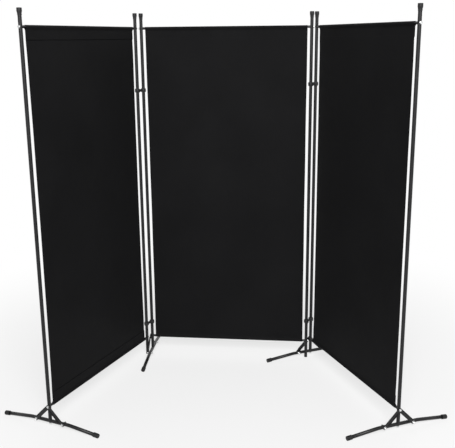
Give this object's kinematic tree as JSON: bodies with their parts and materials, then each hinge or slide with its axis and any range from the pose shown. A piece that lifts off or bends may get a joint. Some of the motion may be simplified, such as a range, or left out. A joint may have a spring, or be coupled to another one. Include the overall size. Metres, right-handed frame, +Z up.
{
  "type": "folding room divider screen",
  "caption": "Folding room divider: cloth panels on steel tube frames, hinged by plastic clips and standing on braced feet.",
  "frame": {"origin": "on the floor, under the middle of the box round the standing screen", "axes": "+X along the centre panel to the right as seen from the front, +Y to the back, +Z up"},
  "size_m": [2.0177, 1.1775, 1.8],
  "materials": {
    "steel": "black powder coat, satin",
    "plastic": "moulded, fine texture",
    "cloth": "plain black polyester weave",
    "zinc": "bright zinc plating"
  },
  "bodies": {
    "centre_panel": {"centre_left_upper_tube": "steel", "centre_left_lower_tube": "steel", "centre_left_top_cap": "plastic", "centre_left_foot_tube": "steel", "centre_left_inner_brace": "steel", "centre_left_outer_brace": "steel", "centre_left_foot_caps": "plastic", "centre_left_foot_fasteners": "zinc", "centre_right_upper_tube": "steel", "centre_right_lower_tube": "steel", "centre_right_top_cap": "plastic", "centre_right_bottom_plug": "plastic", "centre_top_bar": "steel", "centre_bottom_bar": "steel", "centre_cloth": "cloth", "centre_bar_inserts": "zinc", "centre_bar_bolts": "zinc"},
    "left_clips": {"left_lower_clip": "plastic", "left_upper_clip": "plastic"},
    "left_panel": {"left_outer_upper_tube": "steel", "left_outer_lower_tube": "steel", "left_outer_top_cap": "plastic", "left_outer_foot_tube": "steel", "left_outer_inner_brace": "steel", "left_outer_outer_brace": "steel", "left_outer_foot_caps": "plastic", "left_outer_foot_fasteners": "zinc", "left_hinge_upper_tube": "steel", "left_hinge_lower_tube": "steel", "left_hinge_top_cap": "plastic", "left_hinge_bottom_plug": "plastic", "left_top_bar": "steel", "left_bottom_bar": "steel", "left_cloth": "cloth", "left_bar_inserts": "zinc", "left_bar_bolts": "zinc"},
    "right_clips": {"right_lower_clip": "plastic", "right_upper_clip": "plastic"},
    "right_panel": {"right_hinge_upper_tube": "steel", "right_hinge_lower_tube": "steel", "right_hinge_top_cap": "plastic", "right_hinge_foot_tube": "steel", "right_hinge_inner_brace": "steel", "right_hinge_outer_brace": "steel", "right_hinge_foot_caps": "plastic", "right_hinge_foot_fasteners": "zinc", "right_outer_upper_tube": "steel", "right_outer_lower_tube": "steel", "right_outer_top_cap": "plastic", "right_outer_foot_tube": "steel", "right_outer_inner_brace": "steel", "right_outer_outer_brace": "steel", "right_outer_foot_caps": "plastic", "right_outer_foot_fasteners": "zinc", "right_top_bar": "steel", "right_bottom_bar": "steel", "right_cloth": "cloth", "right_bar_inserts": "zinc", "right_bar_bolts": "zinc"}
  },
  "joints": [
    {"name": "left_clip_turn", "type": "hinge", "parent": "centre_panel", "child": "left_clips", "pos_m": [-0.4693, 0.33136, 0], "axis": [0, 0, 1], "range_deg": [-110, 0]},
    {"name": "left_panel_swing", "type": "hinge", "parent": "left_clips", "child": "left_panel", "pos_m": [-0.49225, 0.29859, 0], "axis": [0, 0, 1], "range_deg": [-110, 30]},
    {"name": "right_clip_turn", "type": "hinge", "parent": "centre_panel", "child": "right_clips", "pos_m": [0.3707, 0.33136, 0], "axis": [0, 0, 1], "range_deg": [-51, 80]},
    {"name": "right_panel_swing", "type": "hinge", "parent": "right_clips", "child": "right_panel", "pos_m": [0.39477, 0.3633, 0], "axis": [0, 0, 1], "range_deg": [-30, 0]}
  ]
}
